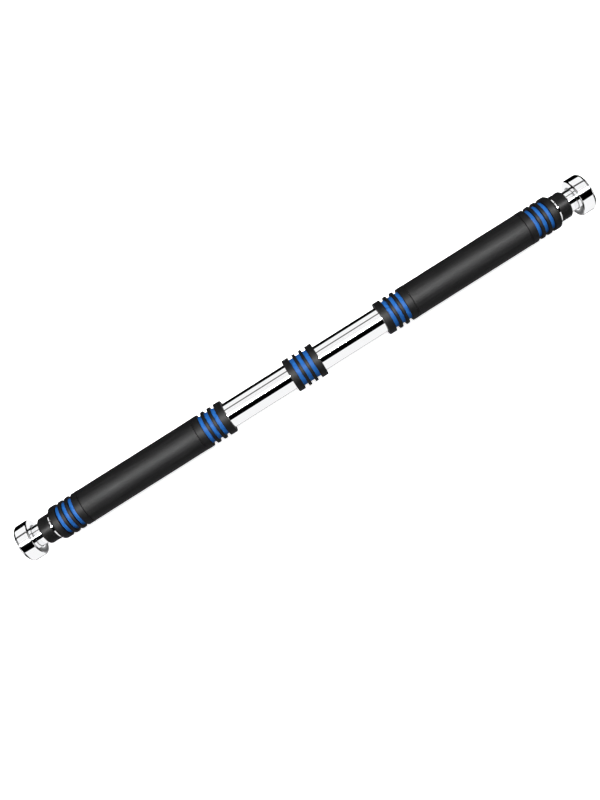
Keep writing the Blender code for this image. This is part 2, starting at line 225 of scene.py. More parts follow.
def settle(piece):
    """Turns a piece's modifiers into a plain mesh."""
    bpy.context.view_layer.update()
    view = bpy.context.evaluated_depsgraph_get()
    mesh = bpy.data.meshes.new_from_object(piece.evaluated_get(view))
    piece.modifiers.clear()
    piece.data = mesh
    mesh.name = piece.name
    for number in reversed(range(len(mesh.materials))):
        if mesh.materials[number] is None:
            mesh.materials.pop(index=number)
    return smooth(piece)


def drill(piece, places, radius, reach):
    """Drills a piece across, along Y, at places along the bar."""
    shape = bmesh.new()
    bmesh.ops.create_cone(shape, cap_ends=True, segments=DRILL_SEGMENTS, radius1=radius,
                          radius2=radius, depth=2.0 * reach)
    bmesh.ops.rotate(shape, verts=shape.verts, matrix=Matrix.Rotation(pi / 2.0, 3, "X"))
    mesh = bpy.data.meshes.new("drill")
    shape.to_mesh(mesh)
    shape.free()
    for place in places:
        bit = bpy.data.objects.new("drill", mesh)
        bpy.context.collection.objects.link(bit)
        bit.location.x = place
        hole = piece.modifiers.new("hole", "BOOLEAN")
        hole.solver = "EXACT"
        hole.object = bit
        settle(piece)
        bpy.data.objects.remove(bit)
    bpy.data.meshes.remove(mesh)
    return piece


def span(name):
    """How far from the bar's middle a CAD node starts and ends, and its radius."""
    low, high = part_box(name)
    near, far = sorted((abs(low.x), abs(high.x)))
    return near, far, high.z


def placed(piece, body, slot, *nodes):
    """Puts a piece on its body and in place of its CAD nodes. The slot is not used."""
    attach(piece, body)
    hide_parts(*nodes)
    return piece


CHROME = chrome_plate()
TUBE_END, TUBE_RADIUS = span("main_tube")[1:]
TUBE_BORE = TUBE_RADIUS - TUBE_WALL
pin_low, pin_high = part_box("right_plug_pin")
PIN_PLACE = (pin_low.x + pin_high.x) / 2.0
PIN_RADIUS = (pin_high.x - pin_low.x) / 2.0
HOLE_MARGIN = 2.0 * PIN_RADIUS
rings = [sign * (PIN_PLACE + edge) for sign in (1.0, -1.0) for edge in (HOLE_MARGIN, -HOLE_MARGIN)]
rings.sort(reverse=True)
tube_outline = rounded([(TUBE_END, TUBE_BORE, TUBE_EDGE), (TUBE_END, TUBE_RADIUS, TUBE_EDGE)]
                       + [(place, TUBE_RADIUS, 0.0) for place in rings]
                       + [(-TUBE_END, TUBE_RADIUS, TUBE_EDGE), (-TUBE_END, TUBE_BORE, TUBE_EDGE)]
                       + [(place, TUBE_BORE, 0.0) for place in reversed(rings)], steps=3)
main_tube = turned("chrome_main_tube", tube_outline, CHROME, segments=TUBE_SEGMENTS)
drill(main_tube, (-PIN_PLACE, PIN_PLACE), PIN_RADIUS + GAP, 2.0 * TUBE_RADIUS)
placed(main_tube, "bar", "chrome_plate", "main_tube")


# ---------------------------------------------------------------- rod plugs and cross pins
# A turned steel plug, zinc plated, holds each screw rod inside the main tube. A hardened pin is
# pressed through tube, plug and rod, and ends just under the tube's surface.


def zinc_steel():
    """Zinc plate with a cool sheen, fine turning rings and dull patches."""
    made, tree, shader, point = finish("zinc_steel", 1.0)
    patches = grain(tree, point, 0.006)
    turning = grain(tree, point, 0.00018, (1.0, 90.0, 90.0), detail=1.0)
    tint = mixed(tree, patches, (0.560, 0.575, 0.600), (0.700, 0.690, 0.650))
    tree.links.new(tint, shader.inputs["Base Color"])
    tree.links.new(between(tree, patches, 0.3, 0.7, 0.26, 0.42), shader.inputs["Roughness"])
    relief(tree, shader, [(turning, 0.000004)])
    return made


def spring_steel():
    """Dark oiled steel, worn brighter where it has been handled."""
    made, tree, shader, point = finish("spring_steel", 1.0)
    wear = grain(tree, point, 0.0025, detail=5.0, roughness=0.65)
    tint = mixed(tree, between(tree, wear, 0.45, 0.70, 0.0, 1.0), (0.085, 0.085, 0.095),
                 (0.330, 0.325, 0.320))
    tree.links.new(tint, shader.inputs["Base Color"])
    tree.links.new(between(tree, wear, 0.3, 0.7, 0.42, 0.28), shader.inputs["Roughness"])
    relief(tree, shader, [(wear, 0.000006)])
    return made


def refinish(name, material):
    """Gives a CAD node that stays its own detailed material."""
    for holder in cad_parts[name].material_slots:
        holder.material = material


ZINC = zinc_steel()
SPRING_STEEL = spring_steel()
for side, _ in SIDES:
    refinish(f"{side}_rod_plug", ZINC)
    refinish(f"{side}_plug_pin", SPRING_STEEL)


# ---------------------------------------------------------------- screw rods
# Each rod is steel bar with a coarse single-start trapezoidal thread, rolled and zinc plated. The
# left rod is left-handed. Each rod's free end is drilled and tapped for its stop screw.
THREAD_LEAD = 0.0040
THREAD_DEPTH = 0.0016
THREAD_RUN_OUT = 0.0060
THREAD_SETBACK = 0.0005         # from the plug's face to the start of the thread
THREAD_END_MARGIN = 0.0001
THREAD_FLOOR = 0.17             # half the groove's floor, as a share of the lead
THREAD_MOUTH = 0.33             # half the groove's mouth, as a share of the lead
THREAD_SKIN = 0.0002            # how near the rod's surface a point is cut
THREAD_STEPS_PER_TURN = 16
LEAST_RADIUS = 1e-6             # keeps a point on the axis out of a division by zero
ROD_SEGMENTS = 60
ROD_CHAMFER = 0.0010
ROD_CHAMFER_DROP = 0.0004
ROD_HEEL = 0.0010
ROD_HEEL_EDGE = 0.0006
TAPPED_RADIUS = 0.0030


def geometry_tree(name, sizes):
    """A Geometry Nodes tree that takes a mesh and named sizes, and ends by setting its material.

    Returns the tree, the node that holds its inputs and a function that closes it.
    """
    tree = bpy.data.node_groups.new(name, "GeometryNodeTree")
    tree.interface.new_socket("Geometry", in_out="OUTPUT", socket_type="NodeSocketGeometry")
    tree.interface.new_socket("Geometry", in_out="INPUT", socket_type="NodeSocketGeometry")
    for label in sizes:
        tree.interface.new_socket(label, in_out="INPUT", socket_type="NodeSocketFloat")
    given = node(tree, "NodeGroupInput").outputs

    def close(geometry, material):
        real = node(tree, "GeometryNodeRealizeInstances", {"Geometry": geometry})
        coated = node(tree, "GeometryNodeSetMaterial", {"Geometry": real.outputs[0],
                                                        "Material": material})
        node(tree, "NodeGroupOutput", {"Geometry": coated.outputs[0]})
        return tree

    return tree, given, close


def shape_by(piece, tree, sizes):
    """Runs a Geometry Nodes tree on a piece with these sizes, and keeps the plain mesh."""
    modifier = piece.modifiers.new(tree.name, "NODES")
    modifier.node_group = tree
    for item in tree.interface.items_tree:
        if item.name in sizes:
            modifier[item.identifier] = sizes[item.name]
    return settle(piece)


def off_axis(tree, y, z):
    """How far a point is from the bar's axis."""
    squares = sums(tree, "ADD", sums(tree, "MULTIPLY", y, y), sums(tree, "MULTIPLY", z, z))
    return sums(tree, "POWER", squares, 0.5)


def drawn_in(tree, place, kept, sockets):
    """Moves points towards the bar's axis, so that they keep a share of their distance from it."""
    x, y, z = place
    moved = node(tree, "ShaderNodeCombineXYZ", {0: x, 1: sums(tree, "MULTIPLY", y, kept),
                                                2: sums(tree, "MULTIPLY", z, kept)})
    return node(tree, "GeometryNodeSetPosition", {**sockets, "Position": moved.outputs[0]}).outputs[0]


def thread_tree(material):
    """Cuts a helical thread into the outer side of a turned rod."""
    tree, given, close = geometry_tree("screw_thread", ("Lead", "Depth", "Radius", "Start",
                                                        "End", "Run out", "Hand"))
    place = node(tree, "GeometryNodeInputPosition").outputs[0]
    x, y, z = node(tree, "ShaderNodeSeparateXYZ", {0: place}).outputs
    along = sums(tree, "ABSOLUTE", x)
    turn = sums(tree, "DIVIDE", sums(tree, "ARCTAN2", y, z), 2.0 * pi)
    phase = sums(tree, "ADD", sums(tree, "DIVIDE", x, given["Lead"]),
                 sums(tree, "MULTIPLY", turn, given["Hand"]))
    saw = sums(tree, "FRACT", phase)
    flank = sums(tree, "ABSOLUTE", sums(tree, "SUBTRACT", saw, 0.5))
    cut = between(tree, flank, THREAD_FLOOR, THREAD_MOUTH, 1.0, 0.0)
    begun = sums(tree, "MAXIMUM", sums(tree, "SUBTRACT", along, given["Start"]), 0.0)
    ramp = sums(tree, "MINIMUM", sums(tree, "DIVIDE", begun, given["Run out"]), 1.0)
    deep = sums(tree, "MULTIPLY", sums(tree, "MULTIPLY", cut, ramp), given["Depth"])
    out = off_axis(tree, y, z)
    skin = sums(tree, "SUBTRACT", given["Radius"], THREAD_SKIN)
    outside = sums(tree, "GREATER_THAN", out, skin)
    within = sums(tree, "LESS_THAN", along, given["End"])
    chosen = sums(tree, "MULTIPLY", outside, within)
    kept = sums(tree, "DIVIDE", sums(tree, "SUBTRACT", out, deep),
                sums(tree, "MAXIMUM", out, LEAST_RADIUS))
    threaded = drawn_in(tree, (x, y, z), kept, {"Geometry": given["Geometry"],
                                                "Selection": chosen})
    return close(threaded, material)


THREAD = thread_tree(ZINC)
for side, direction in SIDES:
    rod_start, rod_end, rod_radius = span(f"{side}_threaded_rod")
    plug_end = span(f"{side}_rod_plug")[1]
    screw_tip = span(f"{side}_stop_screw")[0]
    tapped = TAPPED_RADIUS + GAP
    thread_start, thread_end = plug_end + THREAD_SETBACK, rod_end - ROD_CHAMFER
    count = round((thread_end - thread_start) / THREAD_LEAD * THREAD_STEPS_PER_TURN)
    sides = [(thread_end - (thread_end - thread_start) * i / count, rod_radius)
             for i in range(count + 1)]
    rod_outline = [(screw_tip - GAP, 0.0), (screw_tip - GAP, tapped), (rod_end, tapped),
                   (rod_end, rod_radius - THREAD_DEPTH - ROD_CHAMFER),
                   (thread_end, rod_radius - ROD_CHAMFER_DROP)]
    rod_outline += sides[1:]
    rod_outline += rounded([(rod_start + ROD_HEEL, rod_radius, 0.0),
                            (rod_start, rod_radius, ROD_HEEL_EDGE), (rod_start, 0.0, 0.0)],
                           closed=False)
    rod = turned(f"{side}_screw_rod", rod_outline, ZINC, direction, ROD_SEGMENTS)
    shape_by(rod, THREAD, {"Lead": THREAD_LEAD, "Depth": THREAD_DEPTH, "Radius": rod_radius,
                           "Start": thread_start, "End": thread_end - THREAD_END_MARGIN,
                           "Run out": THREAD_RUN_OUT, "Hand": direction})
    drill(rod, (direction * PIN_PLACE,), PIN_RADIUS + GAP, 2.0 * rod_radius)
    placed(rod, "bar", "zinc_steel", f"{side}_threaded_rod")


# ---------------------------------------------------------------- travel stops
# A zinc-plated washer and a black socket-head screw close each rod's free end, so that a foot
# can't be wound off its rod.
for side, _ in SIDES:
    refinish(f"{side}_stop_washer", ZINC)
    refinish(f"{side}_stop_screw", SPRING_STEEL)


# ---------------------------------------------------------------- end bushes
# Each mouth of the main tube is closed by a black moulded nylon bush. Its spigot is pushed into
# the tube, and its rounded head, a little wider than the tube, guides the sliding inner tube.
BUSH_EDGE = 0.0024
BUSH_WALL = 0.0009
BUSH_MOUTH = 0.0005
BUSH_CORNER = 0.0002
SPIGOT_EDGE = 0.0003


def black_nylon():
    """Satin moulded nylon with a fine spark-eroded grain."""
    made, tree, shader, point = finish("black_nylon", 0.0, Specular_IOR_Level=0.028)
    skin = grain(tree, point, 0.00035, detail=2.0)
    flow = grain(tree, point, 0.0070, (1.0, 1.6, 1.6))
    tint = mixed(tree, flow, (0.0050, 0.0050, 0.0051), (0.0090, 0.0090, 0.0090))
    tree.links.new(tint, shader.inputs["Base Color"])
    tree.links.new(between(tree, flow, 0.3, 0.7, 0.36, 0.44), shader.inputs["Roughness"])
    relief(tree, shader, [(skin, 0.000010)])
    return made


NYLON = black_nylon()
for side, direction in SIDES:
    spigot_start, bush_end, bush_radius = span(f"{side}_end_bush")
    spigot_radius = TUBE_BORE - GAP
    bush_bore = spigot_radius - BUSH_WALL
    bush_face = TUBE_END + GAP
    bush = turned(f"{side}_nylon_bush", rounded([
        (bush_end, bush_bore, BUSH_MOUTH),
        (bush_end, bush_radius, BUSH_EDGE),
        (bush_face, bush_radius, SPIGOT_EDGE),
        (bush_face, spigot_radius, BUSH_CORNER),
        (spigot_start, spigot_radius, SPIGOT_EDGE),
        (spigot_start, bush_bore, SPIGOT_EDGE),
    ]), NYLON, direction)
    placed(bush, "bar", "black_nylon", f"{side}_end_bush")


# ---------------------------------------------------------------- blue sleeves
# Under each ribbed collar lies a thin blue silicone sleeve, stretched over the chrome tube. It
# shows as the coloured floor of the three grooves.
SLEEVE_EDGE = 0.0002


def blue_silicone():
    """Bright blue silicone with a soft shine and faint moulding streaks."""
    made, tree, shader, point = finish("blue_silicone", 0.0, Specular_IOR_Level=0.02)
    flow = grain(tree, point, 0.0050, (0.6, 1.8, 1.8))
    skin = grain(tree, point, 0.00040, detail=2.0)
    tint = mixed(tree, flow, (0.0150, 0.1000, 0.3700), (0.0210, 0.1350, 0.4500))
    tree.links.new(tint, shader.inputs["Base Color"])
    tree.links.new(between(tree, flow, 0.3, 0.7, 0.40, 0.50), shader.inputs["Roughness"])
    relief(tree, shader, [(skin, 0.000006)])
    return made


BLUE = blue_silicone()
COLLARS = {"middle_collar": 1.0}
for side, direction in SIDES:
    for place in ("inner", "outer"):
        COLLARS[f"{side}_{place}_collar"] = direction
for collar, direction in COLLARS.items():
    low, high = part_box(f"{collar}_liner")
    start, end = sorted((direction * low.x, direction * high.x))
    bore = TUBE_RADIUS + GAP
    sleeve = turned(f"{collar}_blue_sleeve", rounded([
        (end, bore, 0.0), (end, high.z, SLEEVE_EDGE),
        (start, high.z, SLEEVE_EDGE), (start, bore, 0.0),
    ]), BLUE, direction)
    placed(sleeve, "bar", "blue_silicone", f"{collar}_liner")


# ---------------------------------------------------------------- ribs
# Two narrow rubber hoops stand on each sleeve and leave three even grooves between the wider
# rings at the collar's two ends. They are moulded, then slid on.
RIB_COUNT = 2.0
RIB_EDGE = 0.0005
RIB_EDGE_STEPS = 5
RIB_SEGMENTS = 144


def black_rubber():
    """Moulded rubber: near black, satin, with a fine skin and a trace of pale dust."""
    made, tree, shader, point = finish("black_rubber", 0.0, Specular_IOR_Level=0.045)
    skin = grain(tree, point, 0.00030, detail=3.0)
    bloom = grain(tree, point, 0.0040, detail=4.0)
    tint = mixed(tree, between(tree, bloom, 0.35, 0.75, 0.0, 1.0), (0.0020, 0.0020, 0.0022),
                 (0.0060, 0.0060, 0.0062))
    tree.links.new(tint, shader.inputs["Base Color"])
    tree.links.new(between(tree, bloom, 0.3, 0.7, 0.48, 0.58), shader.inputs["Roughness"])
    relief(tree, shader, [(skin, 0.000014), (bloom, 0.000020)])
    return made


def rib_tree(material):
    """A row of hoops with rounded edges along the bar."""
    tree, given, close = geometry_tree("collar_ribs", ("Count", "Pitch", "First", "Width", "Bore",
                                                       "Radius", "Edge"))
    depth = sums(tree, "SUBTRACT", given["Radius"], given["Bore"])
    middle = sums(tree, "MULTIPLY", sums(tree, "ADD", given["Radius"], given["Bore"]), 0.5)
    path = node(tree, "GeometryNodeCurvePrimitiveCircle", {"Resolution": RIB_SEGMENTS,
                                                           "Radius": middle})
    section = node(tree, "GeometryNodeCurvePrimitiveQuadrilateral", {"Width": depth,
                                                                     "Height": given["Width"]})
    soft = node(tree, "GeometryNodeFilletCurve", {"Curve": section.outputs[0],
                                                  "Count": RIB_EDGE_STEPS,
                                                  "Radius": given["Edge"]}, mode="POLY")
    hoop = node(tree, "GeometryNodeCurveToMesh", {"Curve": path.outputs[0],
                                                  "Profile Curve": soft.outputs[0]})
    upright = node(tree, "GeometryNodeTransform", {"Geometry": hoop.outputs[0],
                                                   "Rotation": (0.0, pi / 2.0, 0.0)})
    first = node(tree, "ShaderNodeCombineXYZ", {0: given["First"]})
    pitch = node(tree, "ShaderNodeCombineXYZ", {0: given["Pitch"]})
    line = node(tree, "GeometryNodeMeshLine", {"Count": given["Count"],
                                               "Start Location": first.outputs[0],
                                               "Offset": pitch.outputs[0]})
    row = node(tree, "GeometryNodeInstanceOnPoints", {"Points": line.outputs[0],
                                                      "Instance": upright.outputs[0]})
    return close(row.outputs[0], material)


RUBBER = black_rubber()
RIBS = rib_tree(RUBBER)
for collar in COLLARS:
    first_low, first_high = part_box(f"{collar}_rib_1")
    second_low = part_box(f"{collar}_rib_2")[0]
    hoops = bpy.data.objects.new(f"{collar}_ribs", bpy.data.meshes.new(f"{collar}_ribs"))
    bpy.context.collection.objects.link(hoops)
    shape_by(hoops, RIBS, {"Count": RIB_COUNT, "Pitch": second_low.x - first_low.x,
                           "First": (first_low.x + first_high.x) / 2.0,
                           "Width": first_high.x - first_low.x,
                           "Bore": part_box(f"{collar}_liner")[1].z + GAP, "Radius": first_high.z,
                           "Edge": RIB_EDGE})
    placed(hoops, "bar", "black_rubber", f"{collar}_rib_1", f"{collar}_rib_2")


# ---------------------------------------------------------------- end rings
# A collar's end ring is a moulded rubber cuff. It covers the end of the blue sleeve and closes
# down on the tube with a narrow lip. The one at a grip's outer end has a large round edge.
RING_LIP = 0.0020
RING_EDGE = 0.0008
RING_BACK_EDGE = 0.0005
RING_EDGE_STEPS = 10
OUTER_RING_EDGE = 0.0034
LINER_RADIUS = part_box("middle_collar_liner")[1].z


def end_ring(node_name, direction, faces_out, edge):
    """An end ring whose free face looks away from the bar's middle if it faces out."""
    near, far, radius = span(node_name)
    face, back = (far, near) if faces_out else (near, far)
    lip = face - RING_LIP if faces_out else face + RING_LIP
    low_bore = TUBE_RADIUS + GAP
    high_bore = LINER_RADIUS + GAP
    outline = rounded([
        (face, low_bore, 0.0), (face, radius, edge), (back, radius, RING_BACK_EDGE),
        (back, high_bore, 0.0), (lip, high_bore, 0.0), (lip, low_bore, 0.0),
    ], steps=RING_EDGE_STEPS)
    ring = turned(node_name.replace("end_ring", "rubber_end_ring"), outline, RUBBER, direction)
    placed(ring, "bar", "black_rubber", node_name)


for side, direction in SIDES:
    end_ring(f"middle_collar_{side}_end_ring", direction, True, RING_EDGE)
    end_ring(f"{side}_inner_collar_end_ring", direction, False, RING_EDGE)
    end_ring(f"{side}_outer_collar_end_ring", direction, True, OUTER_RING_EDGE)


# ---------------------------------------------------------------- foam rings
# Plain rubber hoops between the ribs and the foam. They hide the end of the blue sleeve and keep
# the foam from creeping over it.
FOAM_RING_EDGE = 0.0004
for side, direction in SIDES:
    for place in ("inner", "outer"):
        name = f"{side}_{place}_collar_foam_ring"
        near, far, radius = span(name)
        bore = LINER_RADIUS + GAP
        hoop = turned(name.replace("foam_ring", "rubber_foam_ring"), rounded([
            (far, bore, 0.0), (far, radius, FOAM_RING_EDGE),
            (near, radius, FOAM_RING_EDGE), (near, bore, 0.0),
        ]), RUBBER, direction)
        placed(hoop, "bar", "black_rubber", name)


# ---------------------------------------------------------------- foam grips
# A sleeve of black closed-cell rubber foam, about 4 mm thick, blown onto the tube with air. Its
# extruded skin is matt and slightly uneven, with fine pores.
FOAM_EDGE = 0.0004
FOAM_EDGE_STEPS = 4
FOAM_CORE = 0.93                # the share of the radius inside which the foam stays even
FOAM_CELLS_PER_METRE = 1500.0
FOAM_STEPS = 230
FOAM_SEGMENTS = 208
FOAM_WAVE = 0.0140
FOAM_WAVE_HEIGHT = 0.00022
FOAM_PORE = 0.0011
FOAM_PORE_DEPTH = 0.00008


def black_foam():
    """Matt foam skin: near black, with tiny open pores and a faint lengthwise drag."""
    made, tree, shader, point = finish("black_foam", 0.0, Specular_IOR_Level=0.052)
    pores = node(tree, "ShaderNodeTexVoronoi", {"Vector": point, "Scale": FOAM_CELLS_PER_METRE},
                 feature="SMOOTH_F1").outputs["Distance"]
    skin = grain(tree, point, 0.0009, detail=5.0, roughness=0.6)
    drag = grain(tree, point, 0.0022, (14.0, 1.0, 1.0))
    tone = sums(tree, "MULTIPLY", skin, drag)
    tint = mixed(tree, between(tree, tone, 0.12, 0.42, 0.0, 1.0), (0.0010, 0.0010, 0.0012),
                 (0.0070, 0.0070, 0.0072))
    tree.links.new(tint, shader.inputs["Base Color"])
    tree.links.new(between(tree, drag, 0.3, 0.7, 0.49, 0.59), shader.inputs["Roughness"])
    relief(tree, shader, [(drag, 0.00006), (skin, 0.00012), (pores, 0.00016)])
    return made


def foam_tree(material):
    """Makes the skin of a foam sleeve slightly uneven. It only ever moves inwards."""
    tree, given, close = geometry_tree("foam_skin", ("Radius", "Wave", "Wave height", "Pore",
                                                     "Pore depth"))
    place = node(tree, "GeometryNodeInputPosition").outputs[0]
    x, y, z = node(tree, "ShaderNodeSeparateXYZ", {0: place}).outputs
    out = off_axis(tree, y, z)
    waves = node(tree, "ShaderNodeTexNoise", {"Vector": place, "Detail": 2.0,
                                              "Scale": sums(tree, "DIVIDE", 1.0, given["Wave"])})
    pores = node(tree, "ShaderNodeTexNoise", {"Vector": place, "Detail": 1.0,
                                              "Scale": sums(tree, "DIVIDE", 1.0, given["Pore"])})
    dip = sums(tree, "ADD", sums(tree, "MULTIPLY", waves.outputs["Fac"], given["Wave height"]),
               sums(tree, "MULTIPLY", pores.outputs["Fac"], given["Pore depth"]))
    inner = sums(tree, "MULTIPLY", given["Radius"], FOAM_CORE)
    share = node(tree, "ShaderNodeMapRange", {"Value": out, "From Min": inner,
                                              "From Max": given["Radius"]}).outputs[0]
    lost = sums(tree, "DIVIDE", sums(tree, "MULTIPLY", dip, share), out)
    kept = sums(tree, "SUBTRACT", 1.0, lost)
    uneven = drawn_in(tree, (x, y, z), kept, {"Geometry": given["Geometry"]})
    return close(uneven, material)


FOAM = black_foam()
FOAM_SKIN = foam_tree(FOAM)
for side, direction in SIDES:
    foam_start, foam_end, foam_radius = span(f"{side}_foam_grip")
    bore = TUBE_RADIUS + GAP
    skin_start, skin_end = foam_start + FOAM_EDGE, foam_end - FOAM_EDGE
    skin_points = [(skin_end + (skin_start - skin_end) * i / FOAM_STEPS, foam_radius, 0.0)
                   for i in range(1, FOAM_STEPS)]
    foam_outline = rounded([(foam_end, bore, 0.0), (foam_end, foam_radius, FOAM_EDGE)]
                           + skin_points
                           + [(foam_start, foam_radius, FOAM_EDGE), (foam_start, bore, 0.0)],
                           steps=FOAM_EDGE_STEPS)
    grip = turned(f"{side}_foam_sleeve", foam_outline, FOAM, direction, FOAM_SEGMENTS)
    shape_by(grip, FOAM_SKIN, {"Radius": foam_radius, "Wave": FOAM_WAVE,
                               "Wave height": FOAM_WAVE_HEIGHT, "Pore": FOAM_PORE,
                               "Pore depth": FOAM_PORE_DEPTH})
    placed(grip, "bar", "black_foam", f"{side}_foam_grip")


# ---------------------------------------------------------------- drive nuts, glides, snap rings
# A brass nut is pressed into each inner tube's inner end. Its hub carries a pale nylon glide ring
# that slides in the main tube, kept on by an open spring ring in a groove.


def turned_brass():
    """Machined brass with fine turning rings and a slight tarnish."""
    made, tree, shader, point = finish("brass", 1.0)
    tarnish = grain(tree, point, 0.0050, detail=4.0)
    turning = grain(tree, point, 0.00016, (1.0, 90.0, 90.0), detail=1.0)
    tint = mixed(tree, tarnish, (0.640, 0.450, 0.180), (0.800, 0.610, 0.290))
    tree.links.new(tint, shader.inputs["Base Color"])
    tree.links.new(between(tree, tarnish, 0.3, 0.7, 0.34, 0.22), shader.inputs["Roughness"])
    relief(tree, shader, [(turning, 0.000004)])
    return made


def natural_nylon():
    """Unpigmented nylon: milky, waxy and a little grubby from the grease."""
    made, tree, shader, point = finish("natural_nylon", 0.0, Subsurface_Weight=0.15)
    grease = grain(tree, point, 0.0040, detail=4.0)
    tint = mixed(tree, between(tree, grease, 0.4, 0.8, 0.0, 1.0), (0.740, 0.715, 0.640),
                 (0.520, 0.480, 0.390))
    tree.links.new(tint, shader.inputs["Base Color"])
    tree.links.new(between(tree, grease, 0.3, 0.7, 0.46, 0.30), shader.inputs["Roughness"])
    relief(tree, shader, [(grease, 0.000010)])
    return made


BRASS = turned_brass()
GLIDE_NYLON = natural_nylon()
for side, _ in SIDES:
    refinish(f"{side}_drive_nut", BRASS)
    refinish(f"{side}_glide_ring", GLIDE_NYLON)
    refinish(f"{side}_snap_ring", SPRING_STEEL)


# ---------------------------------------------------------------- inner tubes
# The thinner steel tube that carries each foot. It is plated and buffed like the main tube, and
# turns and slides in the bush as the bar is screwed out.
INNER_TUBE_WALL = 0.0015
INNER_TUBE_EDGE = 0.0003
INNER_TUBE_SEGMENTS = 160
for side, direction in SIDES:
    start, end, radius = span(f"{side}_inner_tube")
    bore = radius - INNER_TUBE_WALL
    neck = turned(f"{side}_chrome_inner_tube", rounded([
        (end, bore, INNER_TUBE_EDGE), (end, radius, INNER_TUBE_EDGE),
        (start, radius, INNER_TUBE_EDGE), (start, bore, INNER_TUBE_EDGE),
    ], steps=3), CHROME, direction, INNER_TUBE_SEGMENTS)
    placed(neck, f"{side}_foot", "chrome_plate", f"{side}_inner_tube")


# ---------------------------------------------------------------- foot cups
# A deep pressed cup of chromed steel on the end of each inner tube. The tube sits in a socket in
# its flat back, the outer shoulder is widely rounded, and the lip is rolled in over the pad.
CUP_WALL = 0.0018
CUP_BACK = 0.0025
CUP_SHOULDER = 0.0040
CUP_RIM = 0.0024
CUP_LIP = 0.0050
CUP_FINE_EDGE = 0.0006
CUP_EDGE_STEPS = 12
CUP_SEGMENTS = 192
SOCKET_WALL = 0.0025
SOCKET_DEPTH = 0.0040
SOCKET_STEP = 0.0016
SOCKET_EDGE = 0.0004
SOCKET_BORE_EDGE = 0.0002
for side, direction in SIDES:
    back, end, radius = span(f"{side}_foot_cup")
    tube_radius = span(f"{side}_inner_tube")[2]
    socket = tube_radius + GAP
    boss = socket + SOCKET_WALL
    socket_end = back + CUP_BACK + SOCKET_DEPTH
    step = socket_end - SOCKET_STEP
    mouth = radius - CUP_LIP
    cup = turned(f"{side}_chrome_foot_cup", rounded([
        (end, mouth, CUP_FINE_EDGE),
        (end, radius, CUP_SHOULDER),
        (back, radius, CUP_RIM),
        (back, socket, SOCKET_EDGE),
        (step, socket, 0.0),
        (step, tube_radius - INNER_TUBE_WALL, 0.0),
        (socket_end, tube_radius - INNER_TUBE_WALL, SOCKET_BORE_EDGE),
        (socket_end, boss, SOCKET_EDGE),
        (back + CUP_BACK, boss, SOCKET_EDGE),
        (back + CUP_BACK, radius - CUP_WALL, CUP_FINE_EDGE),
        (end - CUP_WALL, radius - CUP_WALL, CUP_SHOULDER - CUP_WALL),
        (end - CUP_WALL, mouth, CUP_FINE_EDGE),
    ], steps=CUP_EDGE_STEPS), CHROME, direction, CUP_SEGMENTS)
    placed(cup, f"{side}_foot", "chrome_plate", f"{side}_foot_cup")


# ---------------------------------------------------------------- foot pads
# A moulded rubber pad fills each cup and stands just proud of its lip. Rings are moulded into its
# face so that it grips the door jamb.
PAD_TREAD_RINGS = 5
PAD_TREAD_DEPTH = 0.0006
PAD_TREAD_GROOVE = 0.0011
PAD_TREAD_EDGE = 0.0002
PAD_TREAD_ROOT = 0.0001
PAD_HUB = 0.0026
PAD_EDGE = 0.0006
PAD_SKIRT_EDGE = 0.0004


def pad_rubber():
    """Soft matt rubber with a coarse mould grain and pale scuffs."""
    made, tree, shader, point = finish("pad_rubber", 0.0, Specular_IOR_Level=0.30)
    skin = grain(tree, point, 0.00045, detail=3.0)
    scuffs = grain(tree, point, 0.0030, detail=6.0, roughness=0.7)
    tint = mixed(tree, between(tree, scuffs, 0.50, 0.72, 0.0, 1.0), (0.0140, 0.0140, 0.0145),
                 (0.0460, 0.0450, 0.0440))
    tree.links.new(tint, shader.inputs["Base Color"])
    tree.links.new(between(tree, scuffs, 0.3, 0.7, 0.66, 0.86), shader.inputs["Roughness"])
    relief(tree, shader, [(skin, 0.00003), (scuffs, 0.00003)])
    return made


PAD_RUBBER = pad_rubber()
for side, direction in SIDES:
    face, body = span(f"{side}_foot_pad")[1:]
    cup_back, cup_end, cup_radius = span(f"{side}_foot_cup")
    nose = cup_radius - CUP_LIP - GAP
    under_lip = cup_end - CUP_WALL - GAP
    slope_start = cup_end - CUP_SHOULDER - GAP
    skirt = span(f"{side}_inner_tube")[2] + 2.0 * GAP + SOCKET_WALL
    skirt_start = cup_back + CUP_BACK + GAP
    seat = cup_back + CUP_BACK + SOCKET_DEPTH + GAP
    corners = [(face, 0.0, 0.0), (face, PAD_HUB, PAD_TREAD_EDGE)]
    pitch = (nose - PAD_EDGE - PAD_HUB) / PAD_TREAD_RINGS
    for number in range(PAD_TREAD_RINGS):
        groove = PAD_HUB + number * pitch
        groove_end = groove + PAD_TREAD_GROOVE
        depth = face - PAD_TREAD_DEPTH
        corners += [(depth, groove + PAD_TREAD_ROOT, PAD_TREAD_ROOT),
                    (depth, groove_end - PAD_TREAD_ROOT, PAD_TREAD_ROOT),
                    (face, groove_end, PAD_TREAD_EDGE)]
        if number < PAD_TREAD_RINGS - 1:
            corners.append((face, groove + pitch, PAD_TREAD_EDGE))
    corners += [(face, nose, PAD_EDGE), (under_lip, nose, 0.0),
                (under_lip, body - (under_lip - slope_start), 0.0), (slope_start, body, 0.0),
                (skirt_start, body, PAD_SKIRT_EDGE), (skirt_start, skirt, 0.0),
                (seat, skirt, 0.0), (seat, 0.0, 0.0)]
    pad = turned(f"{side}_rubber_foot_pad", rounded(corners, closed=False, steps=3), PAD_RUBBER,
                 direction)
    placed(pad, f"{side}_foot", "pad_rubber", f"{side}_foot_pad")


# ---------------------------------------------------------------- studio
# The bar lies on a plain white sweep, seen from straight above. Long soft boxes run beside it,
# with black flags between them, so the chrome shows crisp dark lines along its whole length.
FLOOR_SIZE = 12.0
FLOOR_GAP = 0.0002


